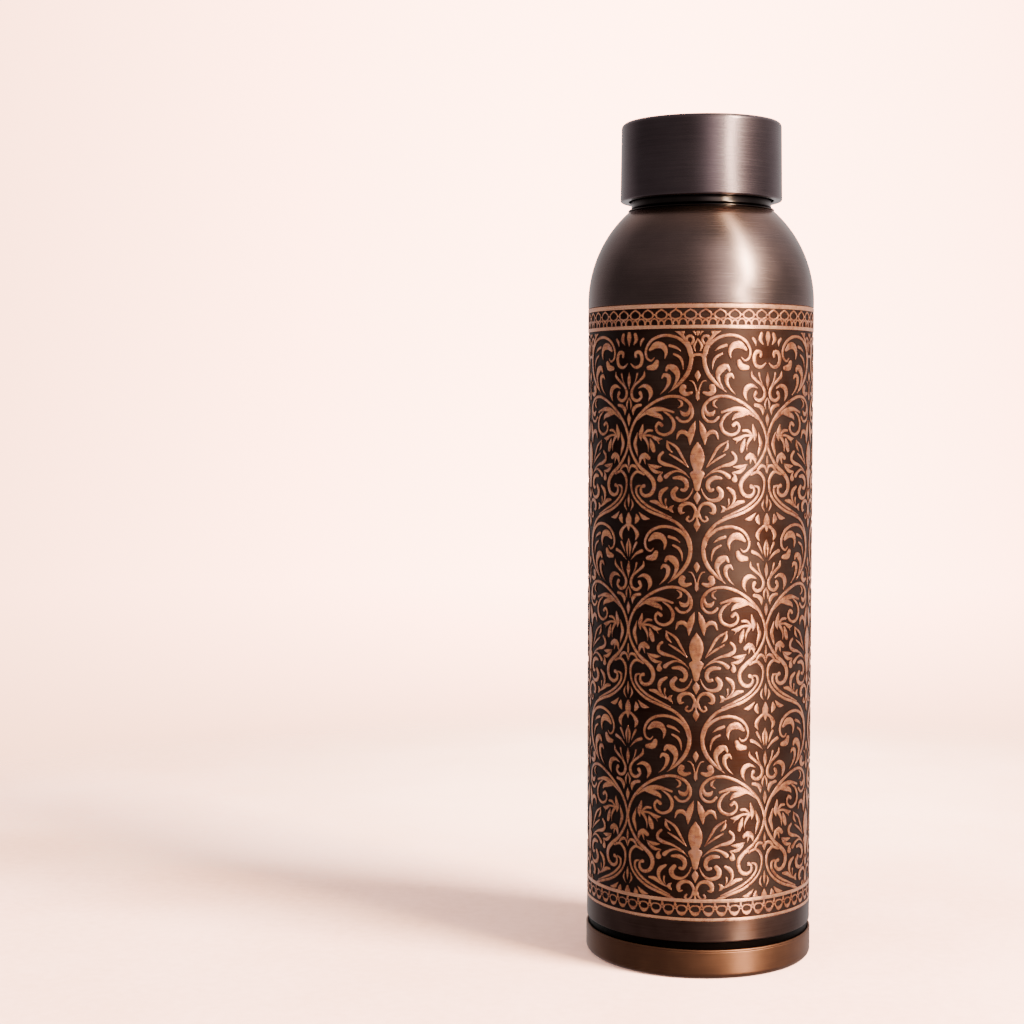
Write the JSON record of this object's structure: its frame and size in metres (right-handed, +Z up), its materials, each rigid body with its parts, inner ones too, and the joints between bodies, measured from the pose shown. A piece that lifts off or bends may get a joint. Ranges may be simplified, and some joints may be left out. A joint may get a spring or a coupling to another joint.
{
  "type": "copper water bottle",
  "caption": "Tall cylindrical copper water bottle with a domed shoulder, a threaded neck and a screw cap; etched floral body, dark cap, shoulder and foot.",
  "frame": {"origin": "centre of the foot, on the plane that the bottle stands on", "axes": "+Z up along the bottle's axis and the cap's screw axis; -Y faces the viewer of the front"},
  "size_m": [0.0734, 0.0734, 0.2704],
  "materials": {
    "etched_copper": "copper, etched with a floral damask; dark antique ground, satin raised pattern",
    "dark_copper": "dark antique copper, finely brushed round the axis, semi-gloss lacquer",
    "brown_copper": "brown antique copper, finely brushed round the axis, semi-gloss lacquer",
    "raw_copper": "bare copper, satin",
    "blackened_brass": "blackened, glossy",
    "moulded_insert": "black moulded food-grade plastic",
    "silicone": "off-white silicone, matt"
  },
  "bodies": {
    "bottle": {"body_tube": "etched_copper", "shoulder": "dark_copper", "neck_ring": "blackened_brass", "bottom_plate": "raw_copper", "base_cup": "brown_copper"},
    "washer": {"cap_gasket": "silicone"},
    "cap": {"cap_shell": "dark_copper", "cap_insert": "moulded_insert"}
  },
  "joints": [
    {"name": "cap_lift", "type": "slide", "parent": "bottle", "child": "washer", "axis": [0, 0, 1], "range_m": [0, 0.0241]},
    {"name": "cap_turn", "type": "hinge", "parent": "washer", "child": "cap", "pos_m": [0, 0, 0.2448], "axis": [0, 0, 1], "range_deg": [0, 2160]}
  ],
  "couplings": [
    {"joint": "cap_lift", "follows": "cap_turn", "m_per_rad": 0.00063662}
  ]
}
